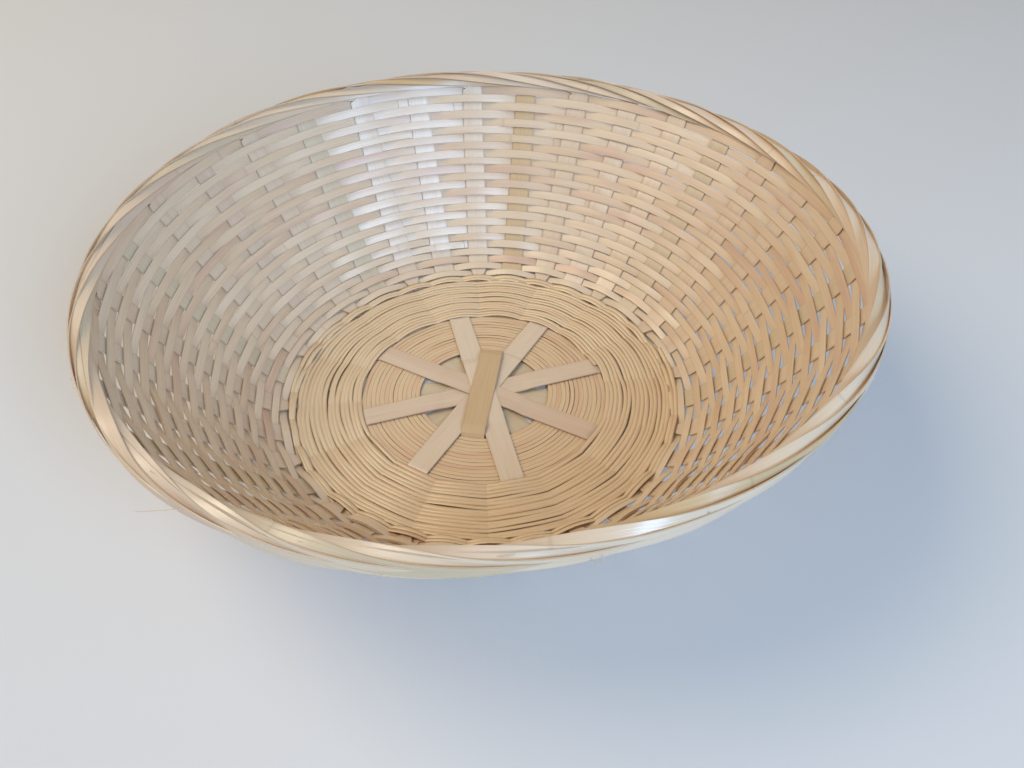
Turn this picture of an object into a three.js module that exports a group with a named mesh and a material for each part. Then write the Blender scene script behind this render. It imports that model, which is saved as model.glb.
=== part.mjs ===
// Round bamboo fruit bowl, woven from flat splints with a turned-over rim.
// Millimetres, +Z up. The origin is the centre of the face that the bowl rests on.
import * as THREE from "three";

// Splints and strands
const splintWidth = 9.6;
const splintThickness = 0.6;
const weaverWidth = 3.4;
const weaverThickness = 0.5;
const strandWidth = 1.5;
const strandThickness = 1.0;
const clearance = 0.25;

// Stakes round the bowl
const baseStripCount = 8;
const firstStakeAngle = 14;
const angleDrift = 2;
const angleDriftPhase = 10;
const sideStakeDepth = 6;
const sideStakePoint = 2;
const sideStakePointLength = 11;

// Where the strips that cross at the hub leave the pile and reach their level on the disc, as
// shares of the way between the radii at which they come clear of each other
const lowStripLeaves = 0.04;
const lowStripReaches = 0.28;
const highStripReaches = 0.68;

// Flat woven disc round the hub
const discInnerRadius = 29.5;
const discPitch = 2.1;
const discTurns = 12;
const discSides = 14;
const levelRun = 3;

// Ring of fine strands where the base turns up into the wall
const edgePitch = 2.45;
const edgeRows = 14;
const edgeStrandCount = 2;

// Wall
const flatRadius = 81;
const cornerRadius = 30;
const wallFootAngle = 50.5;
const wallBendRadius = 590;
const cornerSections = 4;
const wallSections = 3;
const rowPitch = 3.95;
const rowCount = 25;
const rowGap = 0.6;

// Rolled rim. A tail turns on its flat and runs on past the next stakes. At each of them it has its
// own place: its lower edge out and up from the top of the wall, and its lean away from upright.
const tailTurnRadius = 0.8;
const tailPlaces = [
  { out: 0, up: 0.77, lean: 30.9, width: 6.2 },
  { out: -1.07, up: 0.74, lean: 22.9, width: 5 },
  { out: -2.63, up: 3.76, lean: 53.3, width: 4.9 },
  { out: -0.39, up: 8.09, lean: 110.6, width: 5.4 },
  { out: 5.32, up: 6.71, lean: 176.7, width: 5.6 },
  { out: 6.5, up: 5.01, lean: 180.1, width: 5.4 },
];

// Unevenness of the hand-made rim: its height rises and falls round the bowl
const rimTilt = 3.4;
const rimSaddle = 2.2;

// Values that follow from the ones above
const stakeCount = 4 * baseStripCount;
const stakePitch = (2 * Math.PI) / stakeCount;
const layerPitch = splintThickness + clearance;
const stakeLevel = strandThickness + clearance + splintThickness / 2;
const lowStripLevel = splintThickness / 2;
const discLevel = splintThickness + clearance + strandThickness / 2;
const highStripLevel = splintThickness + strandThickness + 2 * clearance + splintThickness / 2;
const discOuterRadius = discInnerRadius + discTurns * discPitch;
const edgeStart = discOuterRadius + levelRun;
const edgeEnd = edgeStart + edgeRows * edgePitch;
const sideStakeStart = edgeEnd - sideStakeDepth;
const rowStart = edgeEnd + rowGap;
const wallTop = rowStart + rowCount * rowPitch;
const footAngle = THREE.MathUtils.degToRad(wallFootAngle);
const cornerLength = cornerRadius * footAngle;

const innerSplint = new THREE.MeshStandardMaterial({ color: 0xcdaa78, roughness: 0.62, metalness: 0 });
const hubSplint = new THREE.MeshStandardMaterial({ color: 0xc79a62, roughness: 0.6, metalness: 0 });
const wallWeaver = new THREE.MeshStandardMaterial({ color: 0xd8b988, roughness: 0.58, metalness: 0 });
const fineStrand = new THREE.MeshStandardMaterial({ color: 0xc9a06c, roughness: 0.66, metalness: 0 });

// Angle of a stake. The hand-made spacing drifts a little, the same on opposite sides,
// so that a strip still runs straight through the hub.
function stakeAngle(index) {
  const even = THREE.MathUtils.degToRad(firstStakeAngle) + index * stakePitch;
  const phase = THREE.MathUtils.degToRad(angleDriftPhase);
  return even + THREE.MathUtils.degToRad(angleDrift) * Math.cos(2 * (even - phase));
}

// Half of the smallest angle between stakes that are a number of places apart
function closestHalfAngle(places) {
  let smallest = Infinity;
  for (let i = 0; i < stakeCount; i += 1) {
    smallest = Math.min(smallest, stakeAngle(i + places) - stakeAngle(i));
  }
  return smallest / 2;
}

// Middle surface of the stakes: radius, height and slope at a length along it from the centre
function surfaceAt(length) {
  if (length <= flatRadius) {
    return { radius: length, height: stakeLevel, slope: 0 };
  }
  const cornerSlope = Math.min((length - flatRadius) / cornerRadius, footAngle);
  const cornerEndRadius = flatRadius + cornerRadius * Math.sin(cornerSlope);
  const cornerEndHeight = stakeLevel + cornerRadius * (1 - Math.cos(cornerSlope));
  if (length <= flatRadius + cornerLength) {
    return { radius: cornerEndRadius, height: cornerEndHeight, slope: cornerSlope };
  }
  const slope = footAngle + (length - flatRadius - cornerLength) / wallBendRadius;
  return {
    radius: cornerEndRadius + wallBendRadius * (Math.sin(slope) - Math.sin(footAngle)),
    height: cornerEndHeight + wallBendRadius * (Math.cos(footAngle) - Math.cos(slope)),
    slope,
  };
}

const rimSeat = surfaceAt(wallTop);

// Lifts a point by the unevenness of the rim, which fades to nothing at the flat base
function settle(point) {
  const radius = Math.hypot(point.x, point.y);
  const share = Math.max(0, (radius - flatRadius) / (rimSeat.radius - flatRadius));
  const angle = Math.atan2(point.y, point.x);
  point.z += share * share * (rimTilt * Math.cos(angle) - rimSaddle * Math.sin(2 * angle));
  return point;
}

function polarPoint(radius, angle, height) {
  return new THREE.Vector3(radius * Math.cos(angle), radius * Math.sin(angle), height);
}

// Four corners of a flat section round a centre, going round from the lower left
function flatSection(centre, across, normal, width, thickness) {
  const side = across.clone().multiplyScalar(width / 2);
  const rise = normal.clone().multiplyScalar(thickness / 2);
  return [
    centre.clone().sub(side).sub(rise),
    centre.clone().add(side).sub(rise),
    centre.clone().add(side).add(rise),
    centre.clone().sub(side).add(rise),
  ];
}

// Solid skinned over a run of four-cornered sections, closed into a ring or capped at both ends.
// The two flats are split along the same diagonal, so that a twisted splint keeps its thickness.
function loft(sections, ring) {
  const points = sections.flat().map((point) => settle(point.clone()));
  const faces = [];
  const last = ring ? sections.length : sections.length - 1;
  for (let i = 0; i < last; i += 1) {
    const here = 4 * i;
    const next = 4 * ((i + 1) % sections.length);
    faces.push(here, next + 1, next, here, here + 1, next + 1);
    faces.push(here + 1, next + 2, next + 1, here + 1, here + 2, next + 2);
    faces.push(here + 2, here + 3, next + 2, here + 3, next + 3, next + 2);
    faces.push(here + 3, next, next + 3, here + 3, here, next);
  }
  if (!ring) {
    const end = 4 * (sections.length - 1);
    faces.push(0, 2, 1, 0, 3, 2);
    faces.push(end, end + 1, end + 2, end, end + 2, end + 3);
  }
  if (signedVolume(points, faces) < 0) {
    faces.reverse();
  }
  const geometry = new THREE.BufferGeometry().setFromPoints(points);
  geometry.setIndex(faces);
  geometry.computeVertexNormals();
  return geometry;
}

function signedVolume(points, faces) {
  let volume = 0;
  for (let i = 0; i < faces.length; i += 3) {
    const cross = points[faces[i + 1]].clone().cross(points[faces[i + 2]]);
    volume += points[faces[i]].dot(cross);
  }
  return volume;
}

// Section of a stake that lies in the bowl's surface, raised from it by an offset
function stakeSection(index, length, offset, width) {
  const angle = stakeAngle(index);
  const { radius, height, slope } = surfaceAt(length);
  const centre = polarPoint(radius - offset * Math.sin(slope), angle, height + offset * Math.cos(slope));
  const across = new THREE.Vector3(-Math.sin(angle), Math.cos(angle), 0);
  const normal = polarPoint(-Math.sin(slope), angle, Math.cos(slope));
  return flatSection(centre, across, normal, width, splintThickness);
}

// Section of a tail where it passes a stake. It comes up behind the tails that are already laid,
// passes inside the next stake, and goes over the top of the rim and down outside.
function tailSection(index, step) {
  const { out, up, lean, width } = tailPlaces[step];
  const angle = stakeAngle(index + step);
  const leanAngle = THREE.MathUtils.degToRad(lean);
  const across = polarPoint(-Math.sin(leanAngle), angle, -Math.cos(leanAngle));
  const normal = polarPoint(-Math.cos(leanAngle), angle, Math.sin(leanAngle));
  const lowerEdge = polarPoint(rimSeat.radius + out, angle, rimSeat.height + up);
  const centre = lowerEdge.addScaledVector(across, -width / 2);
  return flatSection(centre, across, normal, width, splintThickness);
}

// The stake turns on its flat at the top of the wall and runs on round the rim as its tail.
// It swings about its inner edge, so the outer edge stands further out half-way through the turn.
function rimTurn(index) {
  const upright = stakeSection(index, wallTop, 0, splintWidth);
  const place = tailSection(index, 0);
  const nextPlace = tailSection(index, 1);
  const share = (splintWidth / 2 + tailTurnRadius) / place[0].distanceTo(nextPlace[0]);
  const laid = place.map((corner, i) => corner.clone().lerp(nextPlace[i], share));
  const halfWay = upright.map((corner, i) => corner.clone().lerp(laid[i], 0.5));
  const swing = (outer, inner) => inner.clone().lerp(outer, Math.SQRT2);
  const turning = [
    swing(halfWay[0], halfWay[1]),
    halfWay[1],
    halfWay[2],
    swing(halfWay[3], halfWay[2]),
  ];
  return [upright, turning, laid];
}

// Lengths along the surface at which a stake has a section, from a start to the top of the wall
function wallLengths(start) {
  const lengths = [];
  for (let i = 0; i <= cornerSections; i += 1) {
    lengths.push(flatRadius + (i / cornerSections) * cornerLength);
  }
  const wallFoot = flatRadius + cornerLength;
  for (let i = 1; i < wallSections; i += 1) {
    lengths.push(wallFoot + (i / wallSections) * (wallTop - wallFoot));
  }
  return lengths.filter((length) => length > start);
}

function stakeAndTail(index, start) {
  const sections = wallLengths(start).map((length) => stakeSection(index, length, 0, splintWidth));
  sections.push(...rimTurn(index));
  for (let step = 1; step < tailPlaces.length; step += 1) {
    sections.push(tailSection(index, step));
  }
  return sections;
}

// Radii at which strips that cross at the hub come clear of each other
const clearOfSameLayer = splintWidth / 2 / Math.sin(closestHalfAngle(4));
const clearOfNeighbour = splintWidth / 2 / Math.sin(closestHalfAngle(2));

function hubRadius(share) {
  return clearOfSameLayer + share * (clearOfNeighbour - clearOfSameLayer);
}

// Heights of a base strip above the table, from the hub to the edge of the woven disc.
// The strips are piled at the hub. Each comes down once it is clear of those below.
function hubHeights(layer, kind) {
  const pile = layer * layerPitch + splintThickness / 2;
  if (kind === "short") {
    return [
      [0, pile],
      [hubRadius(lowStripLeaves), pile],
      [hubRadius(lowStripReaches), lowStripLevel],
    ];
  }
  if (kind === "long") {
    return [
      [0, pile],
      [hubRadius(lowStripReaches), pile],
      [hubRadius(highStripReaches), highStripLevel],
    ];
  }
  return [
    [0, pile],
    [hubRadius(highStripReaches), pile],
    [hubRadius(1) + clearance, highStripLevel + layerPitch],
    [discInnerRadius - clearance, lowStripLevel],
  ];
}

function halfStrip(index, layer, kind) {
  const heights = hubHeights(layer, kind);
  const discHeight = heights[heights.length - 1][1];
  heights.push([discOuterRadius, discHeight]);
  heights.push([edgeStart - clearance, stakeLevel]);
  const sections = heights.map(([length, height]) =>
    stakeSection(index, length, height - stakeLevel, splintWidth),
  );
  sections.push(...stakeAndTail(index, edgeStart));
  return sections;
}

// Turns a section over, for the half of a strip that is read from its tip to the hub
function turnedOver(section) {
  return [section[1], section[0], section[3], section[2]];
}

function baseStrip(index, layer, kind) {
  const near = halfStrip(index, layer, kind);
  const far = halfStrip(index + stakeCount / 2, layer, kind);
  const farTurned = far.slice(1).reverse().map(turnedOver);
  return loft([...farTurned, ...near], false);
}

// Extra stake between two base strips, cut to a point and pushed into the edge weave
function sideStake(index) {
  const pointEnd = sideStakeStart + sideStakePointLength;
  const sections = [
    stakeSection(index, sideStakeStart, 0, sideStakePoint),
    stakeSection(index, pointEnd, 0, splintWidth),
  ];
  sections.push(...stakeAndTail(index, pointEnd));
  return loft(sections, false);
}

// How far a weaver stands off the middle surface at a stake, inside or outside,
// so that its straight runs clear the edges of the stakes on both sides
function weaveOffset(length, thickness, places, inside) {
  const { radius, slope } = surfaceAt(length);
  const halfAngle = closestHalfAngle(places);
  const stakeEdge = splintWidth / 2 + clearance;
  const run = 2 * radius * Math.sin(halfAngle);
  const rise = splintThickness / 2 + thickness / 2 + clearance;
  const swing = rise / (1 - (2 * stakeEdge) / run);
  const chordShift = stakeEdge * Math.tan(places * (stakePitch / 2)) * Math.sin(slope);
  return (inside ? swing : -swing) - chordShift;
}

function weaverSection(index, length, offset, width, thickness) {
  const angle = stakeAngle(index);
  const { radius, height, slope } = surfaceAt(length);
  const centre = polarPoint(radius - offset * Math.sin(slope), angle, height + offset * Math.cos(slope));
  const across = polarPoint(Math.cos(slope), angle, Math.sin(slope));
  const normal = polarPoint(-Math.sin(slope), angle, Math.cos(slope));
  return flatSection(centre, across, normal, width, thickness);
}

// One flat weaver, a closed ring that goes inside one stake and outside the next
function weaverRow(row) {
  const length = rowStart + (row + 0.5) * rowPitch;
  const sections = [];
  for (let index = 0; index < stakeCount; index += 1) {
    const inside = (index + row) % 2 === 0;
    const offset = weaveOffset(length, weaverThickness, 1, inside);
    sections.push(weaverSection(index, length, offset, weaverWidth, weaverThickness));
  }
  return loft(sections, true);
}

// Fine strand wound flat round the hub, over the low strips and under the high ones
function discStrand() {
  const sections = [];
  const innerCorner = discInnerRadius / Math.cos(Math.PI / discSides);
  const turns = (discOuterRadius - innerCorner - strandWidth) / discPitch;
  for (let i = 0; i <= turns * discSides; i += 1) {
    const radius = innerCorner + strandWidth / 2 + (i / discSides) * discPitch;
    const angle = (2 * Math.PI * i) / discSides;
    const centre = polarPoint(radius, angle, discLevel);
    const across = polarPoint(1, angle, 0);
    const normal = new THREE.Vector3(0, 0, 1);
    sections.push(flatSection(centre, across, normal, strandWidth, strandThickness));
  }
  return loft(sections, false);
}

// Two sections of a strand that runs flat under the outside of a stake, one at each edge of it
function underRun(index, length) {
  const offset = -(splintThickness / 2 + clearance + strandThickness / 2);
  const section = weaverSection(index, length, offset, strandWidth, strandThickness);
  const angle = stakeAngle(index);
  const along = new THREE.Vector3(-Math.sin(angle), Math.cos(angle), 0);
  const moved = (distance) => section.map((corner) => corner.clone().addScaledVector(along, distance));
  const stakeEdge = splintWidth / 2 + clearance;
  return [moved(-stakeEdge), moved(stakeEdge)];
}

// One of the two fine strands that chase each other round the turned-up edge of the base.
// It passes the base strips only until the side stakes begin, and every stake after that.
function edgeStrand(order) {
  const sections = [];
  let index = 0;
  let length = edgeStart + (order + 0.5) * edgePitch;
  const lastLength = edgeEnd - (edgeStrandCount - order - 0.5) * edgePitch;
  while (length <= lastLength) {
    const places = length + strandWidth < sideStakeStart ? 2 : 1;
    const inside = (index / places) % 2 === order;
    if (inside) {
      const offset = weaveOffset(length, strandThickness, places, true);
      sections.push(weaverSection(index, length, offset, strandWidth, strandThickness));
    } else {
      sections.push(...underRun(index, length));
    }
    index += places;
    length += (edgeStrandCount * edgePitch * places) / stakeCount;
  }
  return loft(sections, false);
}

const bowl = new THREE.Group();

function addPiece(name, geometry, material) {
  const mesh = new THREE.Mesh(geometry, material);
  mesh.name = name;
  bowl.add(mesh);
}

// Base strips, from the bottom of the pile at the hub to the top, by their places round the bowl
const pile = [
  { place: 1, kind: "short" },
  { place: 5, kind: "short" },
  { place: 7, kind: "short" },
  { place: 0, kind: "long" },
  { place: 2, kind: "long" },
  { place: 6, kind: "long" },
  { place: 4, kind: "long" },
  { place: 3, kind: "top" },
];
pile.forEach(({ place, kind }, layer) => {
  const material = kind === "top" ? hubSplint : innerSplint;
  addPiece(`base_strip_${layer + 1}`, baseStrip(2 * place, layer, kind), material);
});

for (let i = 0; i < stakeCount / 2; i += 1) {
  addPiece(`side_stake_${i + 1}`, sideStake(2 * i + 1), innerSplint);
}

for (let row = 0; row < rowCount; row += 1) {
  addPiece(`weaver_row_${row + 1}`, weaverRow(row), wallWeaver);
}

addPiece("hub_disc_strand", discStrand(), fineStrand);
for (let order = 0; order < edgeStrandCount; order += 1) {
  addPiece(`edge_strand_${order + 1}`, edgeStrand(order), fineStrand);
}

export default bowl;
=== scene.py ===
import math
import random

import bmesh
import bpy
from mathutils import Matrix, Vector, noise


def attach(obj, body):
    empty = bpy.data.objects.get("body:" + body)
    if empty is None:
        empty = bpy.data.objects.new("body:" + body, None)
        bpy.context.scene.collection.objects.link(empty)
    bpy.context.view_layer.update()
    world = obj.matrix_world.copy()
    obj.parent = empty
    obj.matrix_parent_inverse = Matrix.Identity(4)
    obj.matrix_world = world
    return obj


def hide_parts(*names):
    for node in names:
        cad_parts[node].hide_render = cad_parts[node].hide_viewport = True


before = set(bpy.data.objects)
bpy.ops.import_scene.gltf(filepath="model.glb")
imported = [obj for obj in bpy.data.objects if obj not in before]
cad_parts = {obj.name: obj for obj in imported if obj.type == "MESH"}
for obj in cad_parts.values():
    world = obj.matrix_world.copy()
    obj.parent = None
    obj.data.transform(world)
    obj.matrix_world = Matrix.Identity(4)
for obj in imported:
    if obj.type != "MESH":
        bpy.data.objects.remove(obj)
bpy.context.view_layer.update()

# Base strips: eight flat splints of split bamboo, laid across each other at the hub in a pile.
# They run out under and over the woven disc, turn up as stakes of the wall, and their tails are
# laid round the rim. Three lie low, four lie high, and one of a darker tan closes the pile.

# Lengths are in millimetres until they are written to a mesh.
MM = 0.001
SPLINT_WIDTH = 10.3
WIDER_AT_HUB = 0.7
SPLINT_THICKNESS = 0.6
SPLINT_BODY = 0.5
STRAND_THICKNESS = 1.0
CLEARANCE = 0.25
STAKES = 32
FIRST_STAKE_ANGLE = math.radians(14)
ANGLE_DRIFT = math.radians(2)
DRIFT_PHASE = math.radians(10)

FLAT_RADIUS = 81
CORNER_RADIUS = 30
FOOT_ANGLE = math.radians(50.5)
CORNER_LENGTH = CORNER_RADIUS * FOOT_ANGLE
WALL_BEND_RADIUS = 590
RIM_TILT = 3.4
RIM_SADDLE = 2.2

DISC_INNER = 29.5
DISC_OUTER = 54.7
EDGE_START = 57.7
ROW_START = 90.1
ROW_PITCH = 4.05
ROW_COUNT = 25
WALL_TOP = ROW_START + ROW_COUNT * ROW_PITCH

LAYER_PITCH = 0.54
STAKE_LEVEL = STRAND_THICKNESS + CLEARANCE + SPLINT_THICKNESS / 2
LOW_LEVEL = SPLINT_THICKNESS / 2
HIGH_LEVEL = SPLINT_THICKNESS + STRAND_THICKNESS + 2 * CLEARANCE + SPLINT_THICKNESS / 2


def stake_angle(place):
    """Angle of a stake round the bowl; the stakes are not quite evenly spread."""
    even = FIRST_STAKE_ANGLE + place * 2 * math.pi / STAKES
    return even + ANGLE_DRIFT * math.cos(2 * (even - DRIFT_PHASE))


def surface_at(length):
    """Radius, height and slope of the stakes' middle surface, by length from the centre."""
    if length <= FLAT_RADIUS:
        return length, STAKE_LEVEL, 0
    slope = min((length - FLAT_RADIUS) / CORNER_RADIUS, FOOT_ANGLE)
    radius = FLAT_RADIUS + CORNER_RADIUS * math.sin(slope)
    height = STAKE_LEVEL + CORNER_RADIUS * (1 - math.cos(slope))
    if length > FLAT_RADIUS + CORNER_LENGTH:
        slope += (length - FLAT_RADIUS - CORNER_LENGTH) / WALL_BEND_RADIUS
        radius += WALL_BEND_RADIUS * (math.sin(slope) - math.sin(FOOT_ANGLE))
        height += WALL_BEND_RADIUS * (math.cos(FOOT_ANGLE) - math.cos(slope))
    return radius, height, slope


SEAT_RADIUS, SEAT_HEIGHT, _ = surface_at(WALL_TOP)


def polar(radius, angle, height):
    """Point or direction from a radius and an angle round the bowl, and a height."""
    return Vector((radius * math.cos(angle), radius * math.sin(angle), height))


def settle(point):
    """Lifts a point by the unevenness of the rim, which fades out towards the flat base."""
    radius = math.hypot(point.x, point.y)
    share = max(0, (radius - FLAT_RADIUS) / (SEAT_RADIUS - FLAT_RADIUS))
    angle = math.atan2(point.y, point.x)
    rise = RIM_TILT * math.cos(angle) - RIM_SADDLE * math.sin(2 * angle)
    return point + Vector((0, 0, share * share * rise))


def on_bowl(length, angle, offset, width):
    """Station of a splint in the bowl's surface: its middle, the way it faces, and its width."""
    radius, height, slope = surface_at(length)
    facing = polar(-math.sin(slope), angle, math.cos(slope))
    middle = polar(radius, angle, height) + offset * facing
    return settle(middle), facing, width


SEEDS_APART = (5.31, 1.7)


def wobble(distance, seed, period):
    """Smooth noise along a distance, of its own for each seed."""
    return noise.noise(Vector((distance / period, *(seed * apart for apart in SEEDS_APART))))


# A flat splint is bent from a blank with twelve sides, and a fine strand from one with six. The
# blank's corner that becomes the splint's corner lies thirty degrees up from its middle.
SPLINT_SIDES = 12
STRAND_SIDES = 6
CORNER_AT = math.pi / 6
THINNER_AT_MARGIN = 0.12
STRAND_ROUNDING = (0.3, 0.6)
BLANK_END = 0.4999
NEAR = 0.01
FRONT_GRAIN = 0.25
BACK_GRAIN = 0.75


def section_corner(x, y, flat):
    """Place of a corner of a round blank in the section of a flat splint or a full strand."""
    if flat:
        x = max(-1.0, min(1.0, x / math.cos(CORNER_AT)))
        y = max(-1.0, min(1.0, y / math.sin(CORNER_AT)))
        return x, y * (1 - THINNER_AT_MARGIN * x * x)
    x_power, y_power = STRAND_ROUNDING
    return math.copysign(abs(x) ** x_power, x), math.copysign(abs(y) ** y_power, y)


def bend_splint(stations, thickness, seed, flat=True, cup=0.0):
    """Subdivides a straight splint and bends it along its stations.

    The vertices keep where they lie in the splint, in metres, with a number that tells splints
    and their two sides apart, and how near they are to the sides, where the bamboo paints shade.
    """
    sides = SPLINT_SIDES if flat else STRAND_SIDES
    mesh = bmesh.new()
    grain = mesh.verts.layers.float_vector.new("grain")
    edge_shade_mask = mesh.verts.layers.float.new("edge_shade_mask")
    bmesh.ops.create_cone(
        mesh, cap_ends=True, cap_tris=False, segments=sides, radius1=0.5, radius2=0.5, depth=1
    )
    lengthways = [e for e in mesh.edges if abs(e.verts[0].co.z - e.verts[1].co.z) > 0.5]
    rings = len(stations) - 1
    bmesh.ops.subdivide_edges(mesh, edges=lengthways, cuts=rings - 1)
    middles = [station[0] for station in stations]
    frames = []
    along = 0.0
    for i, (middle, facing, width) in enumerate(stations):
        ahead = (middles[min(i + 1, rings)] - middles[max(i - 1, 0)]).normalized()
        across = ahead.cross(facing).normalized()
        frames.append((middle, across, across.cross(ahead), width, along))
        if i < rings:
            along += (middles[i + 1] - middle).length
    for edge in mesh.edges:
        a, b = edge.verts[0].co, edge.verts[1].co
        at_end = abs(a.z) > BLANK_END and abs(b.z) > BLANK_END
        at_corner = abs(abs(a.y) - math.sin(CORNER_AT) / 2) < NEAR and (a.xy - b.xy).length < NEAR
        edge.smooth = not (at_end or (at_corner and flat))
    for vert in mesh.verts:
        middle, across, facing, width, along = frames[round((vert.co.z + 0.5) * rings)]
        x, y = section_corner(round(2 * vert.co.x, 4), round(2 * vert.co.y, 4), flat)
        vert[grain] = (
            along * MM,
            x * width / 2 * MM,
            seed + (FRONT_GRAIN if y > 0 else BACK_GRAIN),
        )
        vert[edge_shade_mask] = abs(x)
        rise = y * thickness / 2 - cup * x * x
        vert.co = (middle + across * (x * width / 2) + facing * rise) * MM
    for face in mesh.faces:
        face.smooth = True
    return mesh


class Shade:
    """A shader socket that adds its nodes as sums are written with it."""

    def __init__(self, tree, socket=None):
        self.tree = tree
        self.socket = socket

    def node(self, kind, settings, sockets, output=0):
        made = self.tree.nodes.new(kind)
        for name, value in settings.items():
            setattr(made, name, value)
        for name, value in sockets.items():
            if isinstance(value, Shade):
                self.tree.links.new(value.socket, made.inputs[name])
            else:
                made.inputs[name].default_value = value
        return Shade(self.tree, made.outputs[output])

    def sum(self, operation, first, second=0.0):
        return self.node("ShaderNodeMath", {"operation": operation}, {0: first, 1: second})

    def __add__(self, other):
        return self.sum("ADD", self, other)

    __radd__ = __add__

    def __mul__(self, other):
        return self.sum("MULTIPLY", self, other)

    __rmul__ = __mul__

    def __sub__(self, other):
        return self.sum("SUBTRACT", self, other)

    def __rsub__(self, other):
        return self.sum("SUBTRACT", other, self)

    def clipped(self):
        return self.sum("MINIMUM", self.sum("MAXIMUM", self, 0.0), 1.0)

    def mixed(self, first, second):
        """Blends two colours, with this socket as the share of the second."""
        sockets = {"Factor": self, 6: first, 7: second}
        return self.node("ShaderNodeMix", {"data_type": "RGBA"}, sockets, 2)

    def pattern(self, x, y, z, detail):
        """Noise, stretched by the three coordinates given."""
        place = self.node("ShaderNodeCombineXYZ", {}, {"X": x, "Y": y, "Z": z})
        return self.node(
            "ShaderNodeTexNoise", {}, {"Vector": place, "Scale": 1.0, "Detail": detail}, "Fac"
        )


def colour(red, green, blue):
    """Linear colour from screen values of 0 to 255."""
    return [((c / 255 + 0.055) / 1.055) ** 2.4 for c in (red, green, blue)] + [1.0]


# How often the patterns of the bamboo repeat to the metre, how far the splints are apart in
# them, and what share each of them has in the colour, the roughness and the relief.
FIBRES_ALONG = 38
FINE_FIBRES_ALONG = 150
FINE_FIBRES_ACROSS = 2.7
PATCHES_ALONG = 14
PATCHES_ACROSS = 110
FIBRES_APART, FINE_FIBRES_APART, PATCHES_APART = 7.3, 3.1, 5.7
FIBRE_CONTRAST = 2.6
PATCH_FROM, PATCH_CONTRAST, PATCH_BY_TINT = 0.62, 4.5, 0.16
# Painted shade: each splint is darkened towards its sides, where shade falls in the grooves
# between splints.
EDGE_SHADE_FROM, EDGE_SHADE_CONTRAST = 0.86, 7.5
JOINTS_ALONG, JOINTS_APART, JOINT_SHARPNESS = 2.1, 7.7, 420
FIBRE_TAN, TINT_TAN, BACK_TAN = 0.55, 0.55, 0.12
FINE_FIBRE_FLUSH = 0.12
# Dark tan for the joints, which the bamboo really has, and for the painted shade at the splints'
# sides.
JOINT_AND_SHADE_TAN = colour(136, 104, 72)
BACK_ROUGHER, FIBRE_ROUGHER, TINT_ROUGHER = 0.08, 0.16, 0.14
FIBRE_RELIEF, FINE_FIBRE_RELIEF, JOINT_RELIEF = 0.6, 0.5, 4


# The edges argument sets how strongly painted shade darkens the splint's sides.
def bamboo(name, pale, tan, flush, streaks, patchiness, roughness, joints=0.2, edges=0.26):
    """Split bamboo: fibres along the splint, warmer patches, joints, and a tint of its own."""
    material = bpy.data.materials.new(name)
    material.use_nodes = True
    tree = material.node_tree
    skin = tree.nodes["Principled BSDF"]
    shade = Shade(tree)
    grain = shade.node("ShaderNodeAttribute", {"attribute_name": "grain"}, {}, "Vector")
    along = grain.node("ShaderNodeSeparateXYZ", {}, {"Vector": grain}, "X")
    across = grain.node("ShaderNodeSeparateXYZ", {}, {"Vector": grain}, "Y")
    side = grain.node("ShaderNodeSeparateXYZ", {}, {"Vector": grain}, "Z")
    splint = shade.sum("FLOOR", side)
    back = shade.sum("GREATER_THAN", side - splint, (FRONT_GRAIN + BACK_GRAIN) / 2)
    tint = shade.node(
        "ShaderNodeTexWhiteNoise", {"noise_dimensions": "1D"}, {"W": splint}, "Value"
    )

    fibres = shade.pattern(along * FIBRES_ALONG, across * streaks, side * FIBRES_APART, 4)
    fine_fibres = shade.pattern(
        along * FINE_FIBRES_ALONG,
        across * streaks * FINE_FIBRES_ACROSS,
        side * FINE_FIBRES_APART,
        2,
    )
    patches = shade.pattern(
        along * PATCHES_ALONG, across * PATCHES_ACROSS, splint * PATCHES_APART, 2
    )
    fibre = ((fibres - 0.5) * FIBRE_CONTRAST + 0.5).clipped()
    patch = ((patches - PATCH_FROM + tint * PATCH_BY_TINT) * PATCH_CONTRAST).clipped()
    # Painted shade: darker towards the splint's sides, where shade falls between splints.
    edge = shade.node("ShaderNodeAttribute", {"attribute_name": "edge_shade_mask"}, {}, "Fac")
    edge = ((edge - EDGE_SHADE_FROM) * EDGE_SHADE_CONTRAST).clipped()
    phase = shade.sum("FRACT", along * JOINTS_ALONG + tint * JOINTS_APART)
    joint = (1 - shade.sum("ABSOLUTE", phase - 0.5) * JOINT_SHARPNESS).clipped()

    depth = (fibre * FIBRE_TAN + tint * TINT_TAN + back * BACK_TAN - BACK_TAN).clipped()
    ground = depth.mixed(pale, tan)
    flushing = (patch * patchiness + fine_fibres * FINE_FIBRE_FLUSH).clipped()
    flushed = flushing.mixed(ground, flush)
    # The joints are darkened as the bamboo's own marks; the sides are darkened as painted shade.
    darkened = (joint * joints + edge * edges).clipped().mixed(flushed, JOINT_AND_SHADE_TAN)
    tree.links.new(darkened.socket, skin.inputs["Base Color"])
    gloss = roughness + back * BACK_ROUGHER
    gloss = gloss + (fibre - 0.5) * FIBRE_ROUGHER + (tint - 0.5) * TINT_ROUGHER
    tree.links.new(gloss.socket, skin.inputs["Roughness"])
    skin.inputs["Coat Weight"].default_value = 0.85
    skin.inputs["Coat Roughness"].default_value = 0.3
    relief = fibre * FIBRE_RELIEF + fine_fibres * FINE_FIBRE_RELIEF
    relief = relief + joint * joints * JOINT_RELIEF
    bump = shade.node(
        "ShaderNodeBump", {}, {"Strength": 0.7, "Distance": 0.00012, "Height": relief}
    )
    tree.links.new(bump.socket, skin.inputs["Normal"])
    return material


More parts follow.
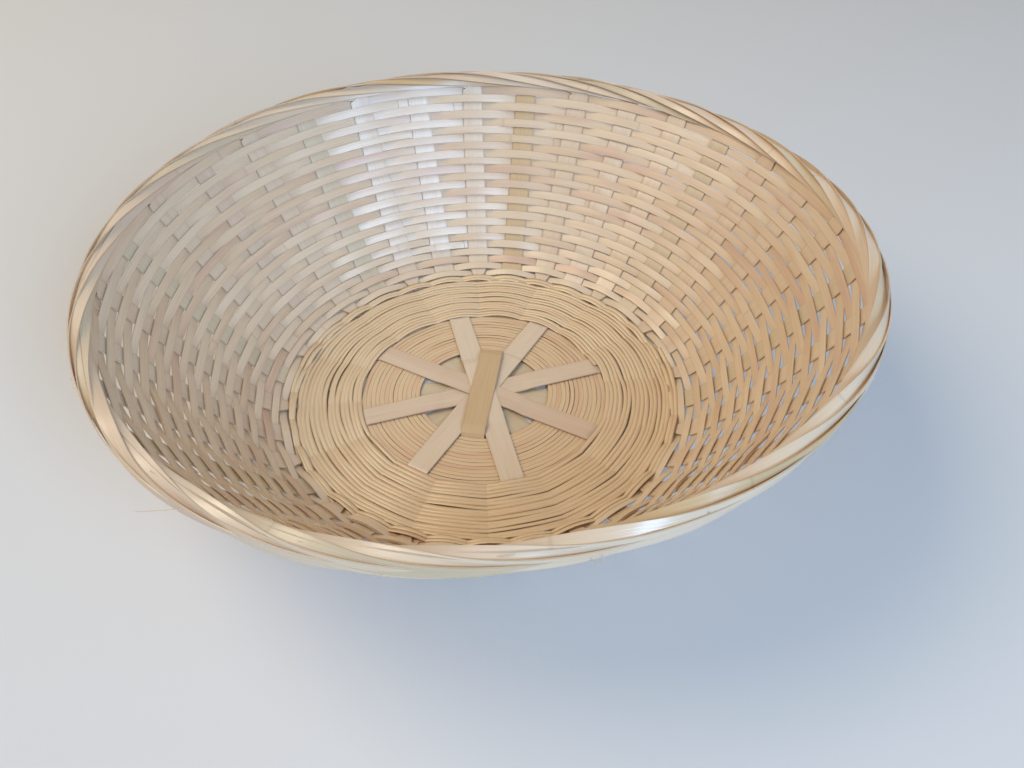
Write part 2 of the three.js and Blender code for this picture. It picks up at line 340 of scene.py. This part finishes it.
def place_piece(name, mesh, material, node):
    """Makes a finished mesh a piece that stands for its CAD node."""
    data = bpy.data.meshes.new(name)
    bmesh.ops.recalc_face_normals(mesh, faces=mesh.faces)
    mesh.to_mesh(data)
    mesh.free()
    data.materials.append(material)
    piece = bpy.data.objects.new(name, data)
    bpy.context.scene.collection.objects.link(piece)
    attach(piece, "root")
    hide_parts(node)
    return piece


def closest_half_angle(places):
    """Half the smallest angle between two stakes that are so many places apart."""
    gaps = (stake_angle(i + places) - stake_angle(i) for i in range(STAKES))
    return min(gaps) / 2


CLEAR_OF_LAYER = SPLINT_WIDTH / 2 / math.sin(closest_half_angle(4))
CLEAR_OF_NEIGHBOUR = SPLINT_WIDTH / 2 / math.sin(closest_half_angle(2))

# Where a strip comes off the pile, lies low and lies high, as shares of the way between the two.
COMES_OFF, LOW_FROM, HIGH_FROM = 0.04, 0.28, 0.68
HUB_STATIONS = 56


def hub_radius(share):
    """Radius between where a strip is clear of its own layer and clear of its neighbours."""
    return CLEAR_OF_LAYER + share * (CLEAR_OF_NEIGHBOUR - CLEAR_OF_LAYER)


def hub_heights(layer, kind):
    """Heights of a strip from the hub to the edge weave, as pairs of length and height."""
    pile = layer * LAYER_PITCH + SPLINT_THICKNESS / 2
    heights = {
        "short": [(hub_radius(COMES_OFF), pile), (hub_radius(LOW_FROM), LOW_LEVEL)],
        "long": [(hub_radius(LOW_FROM), pile), (hub_radius(HIGH_FROM), HIGH_LEVEL)],
        "top": [
            (hub_radius(HIGH_FROM), pile),
            (hub_radius(1) + CLEARANCE, HIGH_LEVEL + SPLINT_THICKNESS),
            (DISC_INNER - CLEARANCE, LOW_LEVEL),
        ],
    }[kind]
    on_disc = heights[-1][1]
    edge = [(DISC_OUTER, on_disc), (EDGE_START - CLEARANCE, STAKE_LEVEL)]
    return [(0, pile)] + heights + edge


def smooth_between(pairs, at):
    """Value at a place along a list of pairs, eased from each pair to the next."""
    for (start, low), (end, high) in zip(pairs, pairs[1:]):
        if at <= end:
            share = max(0.0, (at - start) / (end - start))
            return low + (high - low) * share * share * (3 - 2 * share)
    return pairs[-1][1]


# The tails are rolled over the rim's top: each comes up behind the older ones, passes inside the
# next stake, goes over the top and down outside, and its tip is tucked in under the roll. Each
# row gives the stakes passed, the lower edge out and up from the wall's top, the lean from
# upright in degrees, and the width.
TAIL_PLACES = [
    (0, 0.0, 0.5, 31, 6.2),
    (1, -1.1, 0.45, 23, 5.1),
    (2, -2.5, 3.7, 52, 4.5),
    (3, -0.4, 8.0, 110, 4.8),
    (4, 5.2, 6.8, 176, 5.0),
    (5, 6.3, 4.6, 186, 4.8),
    (6, 5.2, 2.8, 208, 4.6),
]
TURN_BELOW_TOP = 2.2
TURN_STATIONS = 9
TAIL_START = 0.25
TAIL_END = 5.7
TAIL_STEP = 0.1
ROUNDING = 0.45
ROUNDING_STEPS = 6

# How uneven a tail is and over how many stakes, for each column of the table after the first.
TAIL_UNEVEN = ((0.25, 1.3), (0.8, 1.7), (14, 1.9), (0.8, 2.3))
TAIL_SEEDS_APART = 40

# A stake has a station about every millimetre. It sways a little, its width varies, and the
# weavers push it in and out.
STAKE_STEP = 1.34
SWAY, SWAY_PERIOD = 0.35, 30
VARIES, VARIES_PERIOD, VARIES_SEED = 0.3, 40, 11
PUSHED = 0.14
TURN_PULL = 0.56


def tail_value(column, passed):
    """Value from a column of the table, with the corners between its rows rounded."""
    total = 0.0
    for i in range(ROUNDING_STEPS + 1):
        at = passed + ROUNDING * (2 * i / ROUNDING_STEPS - 1)
        row = max(0, min(len(TAIL_PLACES) - 2, math.floor(at)))
        low, high = TAIL_PLACES[row][column], TAIL_PLACES[row + 1][column]
        total += low + (high - low) * max(0.0, at - row)
    return total / (ROUNDING_STEPS + 1)


def tail_station(place, passed, seed):
    """Station of a tail, so many stakes past its own: its middle, facing and width."""
    angle = stake_angle(place + passed)
    out, up, lean, width = (
        tail_value(column, passed)
        + size * wobble(passed, seed + TAIL_SEEDS_APART * column, period)
        for column, (size, period) in enumerate(TAIL_UNEVEN, start=1)
    )
    lean = math.radians(lean)
    across = polar(math.sin(lean), angle, math.cos(lean))
    lower_edge = polar(SEAT_RADIUS + out, angle, SEAT_HEIGHT + up)
    facing = polar(-math.cos(lean), angle, math.sin(lean))
    return settle(lower_edge + across * (width / 2)), facing, width


def stake_stations(place, start, seed):
    """Stations of a stake up the wall, through its turn at the top, and round the rim."""
    stations = []
    end = WALL_TOP - TURN_BELOW_TOP
    count = round((end - start) / STAKE_STEP)
    for i in range(count + 1):
        length = start + (end - start) * i / count
        sway = SWAY * wobble(length, seed, SWAY_PERIOD) / surface_at(length)[0]
        pushed = 0.0
        if length > ROW_START:
            row = (length - ROW_START) / ROW_PITCH - 0.5
            pushed = -PUSHED * math.cos(math.pi * (place + row))
        width = SPLINT_WIDTH + VARIES * wobble(length, seed + VARIES_SEED, VARIES_PERIOD)
        stations.append(on_bowl(length, stake_angle(place) + sway, pushed, width))
    upright = stations[-1]
    laid = tail_station(place, TAIL_START, seed)
    onward = (tail_station(place, TAIL_START + TAIL_STEP, seed)[0] - laid[0]).normalized()
    upward = (upright[0] - stations[-2][0]).normalized()
    pull = TURN_PULL * (laid[0] - upright[0]).length
    corners = (upright[0], upright[0] + pull * upward, laid[0] - pull * onward, laid[0])
    for i in range(1, TURN_STATIONS):
        t = i / TURN_STATIONS
        shares = ((1 - t) ** 3, 3 * t * (1 - t) ** 2, 3 * t * t * (1 - t), t ** 3)
        middle = sum((corner * share for corner, share in zip(corners, shares)), Vector())
        facing = upright[1].lerp(laid[1], t)
        stations.append((middle, facing, upright[2] + (laid[2] - upright[2]) * t))
    for i in range(round((TAIL_END - TAIL_START) / TAIL_STEP) + 1):
        stations.append(tail_station(place, TAIL_START + i * TAIL_STEP, seed))
    return stations


def half_strip(place, layer, kind, seed):
    """Stations of half a strip, from the hub to the end of its tail."""
    heights = hub_heights(layer, kind)
    start = EDGE_START - CLEARANCE
    stations = []
    for i in range(HUB_STATIONS):
        length = start * i / HUB_STATIONS
        offset = smooth_between(heights, length) - STAKE_LEVEL
        width = SPLINT_WIDTH + WIDER_AT_HUB * (1 - length / start)
        stations.append(on_bowl(length, stake_angle(place), offset, width))
    return stations + stake_stations(place, start, seed)


STAKE_CUP = 0.06
STRIP_SEED = 100
STRIP_GRAIN = 10
random.seed(27)
long_bamboo = bamboo(
    "long_bamboo",
    pale=colour(237, 218, 190),
    tan=colour(219, 192, 160),
    flush=colour(214, 177, 152),
    streaks=2100,
    patchiness=0.45,
    roughness=0.38,
    edges=0.19,
)
short_bamboo = bamboo(
    "short_bamboo",
    pale=colour(222, 202, 168),
    tan=colour(202, 178, 142),
    flush=colour(200, 168, 136),
    streaks=2100,
    patchiness=0.35,
    roughness=0.42,
    edges=0.16,
)
top_bamboo = bamboo(
    "top_bamboo",
    pale=colour(220, 192, 146),
    tan=colour(204, 170, 122),
    flush=colour(201, 158, 117),
    streaks=2100,
    patchiness=0.35,
    roughness=0.4,
    edges=0.16,
)
BAMBOO = {"short": short_bamboo, "long": long_bamboo, "top": top_bamboo}
PILE = [
    (1, "short"),
    (5, "short"),
    (7, "short"),
    (0, "long"),
    (2, "long"),
    (6, "long"),
    (4, "long"),
    (3, "top"),
]
for layer, (place, kind) in enumerate(PILE):
    near = half_strip(2 * place, layer, kind, STRIP_SEED + 2 * layer)
    far = half_strip(2 * place + STAKES // 2, layer, kind, STRIP_SEED + 2 * layer + 1)
    strip = bend_splint(far[:0:-1] + near, SPLINT_BODY, STRIP_GRAIN + layer, cup=STAKE_CUP)
    place_piece(
        f"bamboo_base_strip_{layer + 1}",
        strip,
        BAMBOO[kind],
        f"base_strip_{layer + 1}",
    )

# Side stakes: sixteen more splints of the same bamboo, cut to a point and pushed into the edge
# weave halfway between the base strips. Their tails are laid round the rim with the others.
SIDE_STAKE_START = 86
SIDE_STAKE_POINT = 2
SIDE_STAKE_POINT_LENGTH = 11
SIDE_SEED = 200
SIDE_GRAIN = 30

# Loose fibres stand off the tails where the splints were split. Each row gives the side stake,
# the stakes passed, and how far the fibre runs along the rim, outwards and up.
FIBRES = [
    (7, 4.6, -11.5, 8.0, -1.0),
    (8, 4.9, 0.8, 1.5, -1.5),
    (8, 4.98, -0.5, 1.3, -1.6),
    (9, 4.9, 1.5, 2.2, -1.2),
    (9, 5.02, -0.6, 2.0, -1.5),
    (6, 3.9, 0.6, 2.2, 0.4),
    (6, 3.98, -1.0, 2.0, 0.6),
    (6, 4.05, 0.2, 1.8, -0.5),
    (10, 4.05, 0.5, 1.0, 1.2),
    (2, 4.1, 1.2, 1.8, 0.7),
]
FIBRE_WIDTH = 0.28
FIBRE_TAPER = 0.6
FIBRE_STATIONS = 8


def loose_fibre(place, passed, seed, onward, outward, upward):
    """A hair of bamboo that leaves a tail in a shallow curve."""
    middle, facing, _ = tail_station(place, passed, seed)
    angle = stake_angle(place + passed)
    along = polar(-math.sin(angle), 0, 0) + Vector((0, math.cos(angle), 0))
    out = polar(1, angle, 0)
    stations = []
    for i in range(FIBRE_STATIONS):
        share = i / (FIBRE_STATIONS - 1)
        reach = onward * share * along + outward * share * out
        lift = Vector((0, 0, upward * share * (2 - share)))
        width = FIBRE_WIDTH * (1 - FIBRE_TAPER * share)
        stations.append((middle + reach + lift, facing, width))
    return bend_splint(stations, FIBRE_WIDTH, seed, flat=False)


side_bamboo = bamboo(
    "side_bamboo",
    pale=colour(234, 212, 182),
    tan=colour(217, 187, 151),
    flush=colour(214, 172, 146),
    streaks=2100,
    patchiness=0.5,
    roughness=0.38,
)
for i in range(STAKES // 2):
    stations = stake_stations(2 * i + 1, SIDE_STAKE_START, SIDE_SEED + i)
    pointed = []
    for j, (middle, facing, width) in enumerate(stations):
        share = min(1.0, j * STAKE_STEP / SIDE_STAKE_POINT_LENGTH)
        width = SIDE_STAKE_POINT + (width - SIDE_STAKE_POINT) * share
        pointed.append((middle, facing, width))
    stake = bend_splint(pointed, SPLINT_BODY, SIDE_GRAIN + i, cup=STAKE_CUP)
    for side, passed, *reach in FIBRES:
        if side == i:
            fibre = loose_fibre(2 * i + 1, passed, SIDE_SEED + i, *reach)
            fibre_data = bpy.data.meshes.new("fibre")
            fibre.to_mesh(fibre_data)
            fibre.free()
            stake.from_mesh(fibre_data)
            bpy.data.meshes.remove(fibre_data)
    place_piece(
        f"bamboo_side_stake_{i + 1}", stake, side_bamboo, f"side_stake_{i + 1}"
    )

# Disc strand: one fine strand of bamboo wound flat round the hub, over the low strips and under
# the high ones, so close that only thin dark lines show between its turns; the strand's sides are
# painted darker as shade along these lines.
DISC_TURNS = 14
DISC_WOUND_FROM = 28.6
DISC_WOUND_TO = 57.6
DISC_SAMPLES = 64
DISC_LEVEL = SPLINT_THICKNESS + CLEARANCE + STRAND_THICKNESS / 2
DISC_BODY = STRAND_THICKNESS * 0.6
DISC_FILL = 0.99
DISC_CUP = 0.05
DISC_GRAIN = 50

# How uneven the strand is, over what share of a turn, and the seed: radius, height and width.
DISC_UNEVEN = ((0.2, 0.06, 3), (0.14, 0.07, 9), (0.42, 0.13, 5))

# The strands' sides are darkened strongly as painted shade, for the dark lines between turns and
# rows.
strand_bamboo = bamboo(
    "strand_bamboo",
    pale=colour(240, 214, 174),
    tan=colour(222, 188, 142),
    flush=colour(218, 168, 132),
    streaks=2600,
    patchiness=0.8,
    roughness=0.42,
    joints=0.0,
    edges=1.3,
)
disc_pitch = (DISC_WOUND_TO - DISC_WOUND_FROM) / DISC_TURNS
stations = []
for i in range(round((DISC_TURNS - 1) * DISC_SAMPLES) + 1):
    turn = i / DISC_SAMPLES
    angle = stake_angle(0) + 2 * math.pi * turn
    out, up, wider = (size * wobble(turn, seed, period) for size, period, seed in DISC_UNEVEN)
    radius = DISC_WOUND_FROM + (turn + 0.5) * disc_pitch + out
    middle = polar(radius, angle, DISC_LEVEL + up)
    stations.append((middle, Vector((0, 0, 1)), disc_pitch * DISC_FILL + wider))
disc = bend_splint(stations, DISC_BODY, DISC_GRAIN, cup=DISC_CUP)
place_piece("bamboo_hub_disc_strand", disc, strand_bamboo, "hub_disc_strand")

# Edge strands: two fine strands twined round each other and round the stakes, from the disc to
# the turned-up edge of the base. They lie so close that they hide the strips in humps.
EDGE_ROWS = 18
EDGE_WOUND_FROM = 55.6
EDGE_WOUND_TO = 91.2
EDGE_SAMPLES = 5
PAIRED_FROM = 83.5
STRAND_WIDTH = 2.3
STRAND_BODY = STRAND_THICKNESS * 0.62
STRAND_CLEARANCE = 0.05
STRAND_LOWEST = -1.05
STRANDS_APART = 0.08
EDGE_GRAIN = 52

# How far the rows stray and how much their width varies, over how many stakes, and the seed.
EDGE_STRAYS = (0.85, 2.3, 60)
EDGE_VARIES = (0.7, 3.1, 70)

edge_pitch = (EDGE_WOUND_TO - EDGE_WOUND_FROM) / EDGE_ROWS
switch_row = math.ceil((PAIRED_FROM - EDGE_WOUND_FROM) / edge_pitch)
for order in range(2):
    stations = []
    sign = 1 - 2 * order
    for i in range((EDGE_ROWS - 1) * STAKES * EDGE_SAMPLES + 1):
        place = i / EDGE_SAMPLES
        turn = place / STAKES
        stakes_to_beat = 1 if turn > switch_row else 2
        beat = math.pi * place / stakes_to_beat
        length = EDGE_WOUND_FROM + (turn + 0.5) * edge_pitch
        spacing = 2 * math.pi * surface_at(length)[0] / STAKES * stakes_to_beat
        clear = (SPLINT_THICKNESS + STRAND_THICKNESS) / 2 + STRAND_CLEARANCE
        swing = clear / math.cos(math.pi * SPLINT_WIDTH / 2 / spacing)
        offset = sign * swing * math.cos(beat)
        if length < FLAT_RADIUS:
            offset = max(offset, STRAND_LOWEST)
        strays, varies = (
            size * wobble(place, seed, period) for size, period, seed in (EDGE_STRAYS, EDGE_VARIES)
        )
        shift = sign * STRANDS_APART * math.sin(beat) + strays
        width = STRAND_WIDTH + varies
        stations.append(on_bowl(length + shift, stake_angle(place), offset, width))
    strand = bend_splint(stations, STRAND_BODY, EDGE_GRAIN + order, flat=False)
    place_piece(
        f"bamboo_edge_strand_{order + 1}",
        strand,
        strand_bamboo,
        f"edge_strand_{order + 1}",
    )

# Wall weavers: twenty-five flat splints, one to a row, each inside one stake and outside the
# next. Each goes once round the bowl and laps over its own start by nearly three stakes. The
# low rows are narrower, so that small gaps are left beside the stakes.
WEAVER_THICKNESS = 0.5
WEAVER_WIDTH = 4.02
NARROWER_AT_SIDES = 0.12
SIDES_FACE = math.radians(-20)
TOP_ROW_WIDER = 0.4
NARROWER_LOW = 0.55
LOW_ROWS = 9
ROW_SAMPLES = 10
WEAVER_CLEARANCE = 0.05
SWING_SHARES = (1.15, 1.5)
WIDTH_SPREAD = (-0.3, 0.15)
WEAVER_CUP = 0.03
WEAVER_GRAIN = 60

# The lap: how many stakes it takes, where the weaver starts past a stake, by how many stakes on
# its start is eased back, how far apart the two ends lie, and how far the row is set outwards.
LAP = 2.7
LAP_START = -0.35
LAP_EASED = 4
LAP_APART = 0.28
LAP_SET_OUT = 0.06

# How far a row strays and how much its width varies, over how many stakes, and the seed.
ROW_STRAYS = (0.45, 2.3, 300)
ROW_VARIES = (0.6, 2.9, 400)

# The weavers' sides are darkened as painted shade in the weave.
weaver_bamboo = bamboo(
    "weaver_bamboo",
    pale=colour(236, 214, 182),
    tan=colour(216, 184, 146),
    flush=colour(210, 166, 142),
    streaks=2400,
    patchiness=0.65,
    roughness=0.36,
    edges=0.24,
)
for row in range(ROW_COUNT):
    length = ROW_START + (row + 0.5) * ROW_PITCH
    spacing = 2 * math.pi * surface_at(length)[0] / STAKES
    clear = (SPLINT_THICKNESS + WEAVER_THICKNESS) / 2 + WEAVER_CLEARANCE
    swing = clear / math.cos(math.pi * SPLINT_WIDTH / 2 / spacing)
    swing *= random.uniform(*SWING_SHARES)
    width = WEAVER_WIDTH + random.uniform(*WIDTH_SPREAD)
    width -= NARROWER_LOW * max(0, 1 - row / LOW_ROWS)
    if row == ROW_COUNT - 1:
        width = WEAVER_WIDTH + TOP_ROW_WIDER
        length += TOP_ROW_WIDER / 2
    first = 2 * random.randrange(STAKES // 2) + (row + 1) % 2 + LAP_START
    stations = []
    for i in range(round((STAKES + LAP) * ROW_SAMPLES) + 1):
        passed = i / ROW_SAMPLES
        place = first + passed
        wave = math.cos(math.pi * (place + row))
        offset = swing * wave
        behind = max(0.0, min(1.0, LAP_EASED - passed))
        ahead = max(0.0, min(1.0, passed - STAKES + 1))
        offset += LAP_APART * (ahead * (1 + wave) - behind * (1 - wave)) - LAP_SET_OUT
        strays, varies = (
            size * wobble(passed, seed + row, period)
            for size, period, seed in (ROW_STRAYS, ROW_VARIES)
        )
        sides = math.cos(stake_angle(place) - SIDES_FACE) ** 2
        wide = width + varies - NARROWER_AT_SIDES * sides
        stations.append(on_bowl(length + strays, stake_angle(place), offset, wide))
    weaver = bend_splint(stations, WEAVER_THICKNESS, WEAVER_GRAIN + row, cup=WEAVER_CUP)
    place_piece(
        f"bamboo_weaver_row_{row + 1}",
        weaver,
        weaver_bamboo,
        f"weaver_row_{row + 1}",
    )

# Floor, light and camera: a plain pale floor, a large soft lamp of cool light from the front and
# right, a warmer one from the left, and the camera where the photograph was taken. The world is
# brighter where it is seen than in the light that it gives.
FLOOR_SIZE = 6.0
FLOOR_COLOUR = (0.78, 0.77, 0.75, 1.0)
FLOOR_ROUGHNESS = 0.9
WORLD_LIGHT = 0.23
WORLD_SEEN = 0.6
floor_mesh = bmesh.new()
bmesh.ops.create_grid(floor_mesh, x_segments=1, y_segments=1, size=FLOOR_SIZE / 2)
floor_data = bpy.data.meshes.new("floor")
floor_mesh.to_mesh(floor_data)
floor_mesh.free()
floor_paint = bpy.data.materials.new("floor_paint")
floor_paint.use_nodes = True
floor_skin = floor_paint.node_tree.nodes["Principled BSDF"]
floor_skin.inputs["Base Color"].default_value = FLOOR_COLOUR
floor_skin.inputs["Roughness"].default_value = FLOOR_ROUGHNESS
floor_data.materials.append(floor_paint)
floor = bpy.data.objects.new("floor", floor_data)
bpy.context.scene.collection.objects.link(floor)

for name, place, size, power, tone in (
    ("cool_key", (0.75, -1.4, 0.95), 0.9, 29.5, (0.43, 0.66, 1.0)),
    ("warm_fill", (-1.1, 0.1, 1.5), 1.2, 17.5, (1.0, 0.85, 0.63)),
):
    lamp_data = bpy.data.lights.new(name, "AREA")
    lamp_data.size = size
    lamp_data.energy = power
    lamp_data.color = tone
    lamp = bpy.data.objects.new(name, lamp_data)
    lamp.location = place
    lamp.rotation_euler = (-Vector(place)).to_track_quat("-Z", "Y").to_euler()
    bpy.context.scene.collection.objects.link(lamp)

world = bpy.data.worlds.new("studio")
world.use_nodes = True
background = world.node_tree.nodes["Background"]
background.inputs["Color"].default_value = (1.0, 1.0, 1.0, 1.0)
rays = Shade(world.node_tree)
seen = rays.node("ShaderNodeLightPath", {}, {}, "Is Camera Ray")
for ray in ("Is Glossy Ray", "Is Transmission Ray"):
    seen = rays.sum("MAXIMUM", seen, rays.node("ShaderNodeLightPath", {}, {}, ray))
strength = WORLD_LIGHT + seen * WORLD_SEEN
world.node_tree.links.new(strength.socket, background.inputs["Strength"])
bpy.context.scene.world = world

# The camera's place is in metres, and its two angles are in degrees.
CAMERA_PLACE = (0.0024, -0.3059, 0.2936)
CAMERA_LENS = 31.64
LOOKS_DOWN = 43.2
TURNED = -2.092
camera_data = bpy.data.cameras.new("camera")
camera_data.lens = CAMERA_LENS
camera_data.sensor_width = 36.0
camera_data.clip_start = 0.01
camera = bpy.data.objects.new("camera", camera_data)
camera.location = CAMERA_PLACE
camera.rotation_euler = (math.radians(90 - LOOKS_DOWN), 0.0, math.radians(TURNED))
bpy.context.scene.collection.objects.link(camera)
bpy.context.scene.camera = camera
bpy.context.scene.view_settings.view_transform = "Standard"
